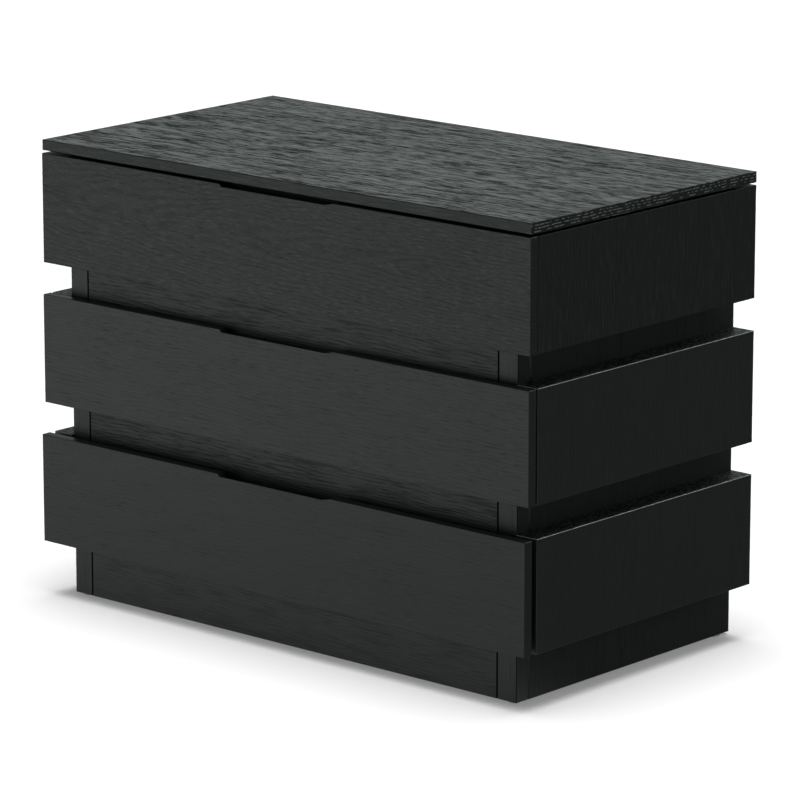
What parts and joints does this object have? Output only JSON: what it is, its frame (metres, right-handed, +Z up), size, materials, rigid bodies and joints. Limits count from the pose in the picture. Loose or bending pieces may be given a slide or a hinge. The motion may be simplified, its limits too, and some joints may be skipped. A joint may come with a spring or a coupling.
{
  "type": "nightstand",
  "caption": "Wide low nightstand with overlay drawers on telescopic runners, thick side boards around a narrower core, and a thin flat top.",
  "frame": {"origin": "on the floor, under the middle of the outline at rest", "axes": "+X to the right along the width, the drawers open towards -Y, +Z up"},
  "size_m": [0.75, 0.406, 0.552],
  "materials": {
    "top_veneer": "black-stained open-grain oak veneer, satin lacquer, grain along the width",
    "drawer_veneer": "black-stained open-grain oak veneer, satin lacquer, grain along the width",
    "side_board_veneer": "black-stained oak, satin lacquer, upright grain",
    "upright_veneer": "black-stained oak, satin lacquer, upright grain",
    "rail_veneer": "black-stained oak, satin lacquer, grain along the width",
    "back_hardboard": "dark-faced hardboard",
    "carcass_board": "black-stained board",
    "beech": "turned beech",
    "drawer_box_board": "clear-lacquered birch board",
    "drawer_bottom_board": "clear-lacquered birch plywood",
    "runner_steel": "bright zinc-plated rolled steel",
    "screw_steel": "zinc-plated steel",
    "glide_plastic": "natural nylon",
    "bumper_rubber": "soft clear-grey pad"
  },
  "bodies": {
    "cabinet": {"back_nails": "screw_steel", "back_panel": "back_hardboard", "base_panel": "carcass_board", "bumpers": "bumper_rubber", "dowels": "beech", "drawer_1_cabinet_runners": "runner_steel", "drawer_2_cabinet_runners": "runner_steel", "drawer_3_cabinet_runners": "runner_steel", "floor_glides": "glide_plastic", "front_stretcher": "carcass_board", "left_post": "upright_veneer", "left_runner_battens": "carcass_board", "left_side_board_lower": "side_board_veneer", "left_side_board_middle": "side_board_veneer", "left_side_board_upper": "side_board_veneer", "left_side_panel": "upright_veneer", "lower_rail": "rail_veneer", "plinth_board": "rail_veneer", "rear_stretcher": "carcass_board", "right_post": "upright_veneer", "right_runner_battens": "carcass_board", "right_side_board_lower": "side_board_veneer", "right_side_board_middle": "side_board_veneer", "right_side_board_upper": "side_board_veneer", "right_side_panel": "upright_veneer", "runner_screws": "screw_steel", "side_board_screws": "screw_steel", "top_front_rail": "rail_veneer", "top_panel": "top_veneer", "top_screws": "screw_steel", "upper_rail": "rail_veneer"},
    "drawer_1": {"drawer_1_back": "drawer_box_board", "drawer_1_bottom": "drawer_bottom_board", "drawer_1_front": "drawer_veneer", "drawer_1_inner_front": "drawer_box_board", "drawer_1_left_side": "drawer_box_board", "drawer_1_right_side": "drawer_box_board", "drawer_1_runners": "runner_steel", "drawer_1_screws": "screw_steel"},
    "drawer_1_middle_runners": {"drawer_1_middle_runners": "runner_steel"},
    "drawer_2": {"drawer_2_back": "drawer_box_board", "drawer_2_bottom": "drawer_bottom_board", "drawer_2_front": "drawer_veneer", "drawer_2_inner_front": "drawer_box_board", "drawer_2_left_side": "drawer_box_board", "drawer_2_right_side": "drawer_box_board", "drawer_2_runners": "runner_steel", "drawer_2_screws": "screw_steel"},
    "drawer_2_middle_runners": {"drawer_2_middle_runners": "runner_steel"},
    "drawer_3": {"drawer_3_back": "drawer_box_board", "drawer_3_bottom": "drawer_bottom_board", "drawer_3_front": "drawer_veneer", "drawer_3_inner_front": "drawer_box_board", "drawer_3_left_side": "drawer_box_board", "drawer_3_right_side": "drawer_box_board", "drawer_3_runners": "runner_steel", "drawer_3_screws": "screw_steel"},
    "drawer_3_middle_runners": {"drawer_3_middle_runners": "runner_steel"}
  },
  "joints": [
    {"name": "drawer_1_slide", "type": "slide", "parent": "cabinet", "child": "drawer_1", "axis": [0, -1, 0], "range_m": [0, 0.35]},
    {"name": "drawer_1_middle_runner_slide", "type": "slide", "parent": "cabinet", "child": "drawer_1_middle_runners", "axis": [0, -1, 0], "range_m": [0, 0.175]},
    {"name": "drawer_2_slide", "type": "slide", "parent": "cabinet", "child": "drawer_2", "axis": [0, -1, 0], "range_m": [-0.0015, 0.3485]},
    {"name": "drawer_2_middle_runner_slide", "type": "slide", "parent": "cabinet", "child": "drawer_2_middle_runners", "axis": [0, -1, 0], "range_m": [-0.00075, 0.17425]},
    {"name": "drawer_3_slide", "type": "slide", "parent": "cabinet", "child": "drawer_3", "axis": [0, -1, 0], "range_m": [-0.007, 0.343]},
    {"name": "drawer_3_middle_runner_slide", "type": "slide", "parent": "cabinet", "child": "drawer_3_middle_runners", "axis": [0, -1, 0], "range_m": [-0.0035, 0.1715]}
  ],
  "couplings": [
    {"joint": "drawer_1_middle_runner_slide", "follows": "drawer_1_slide", "ratio": 0.5},
    {"joint": "drawer_2_middle_runner_slide", "follows": "drawer_2_slide", "ratio": 0.5},
    {"joint": "drawer_3_middle_runner_slide", "follows": "drawer_3_slide", "ratio": 0.5}
  ]
}
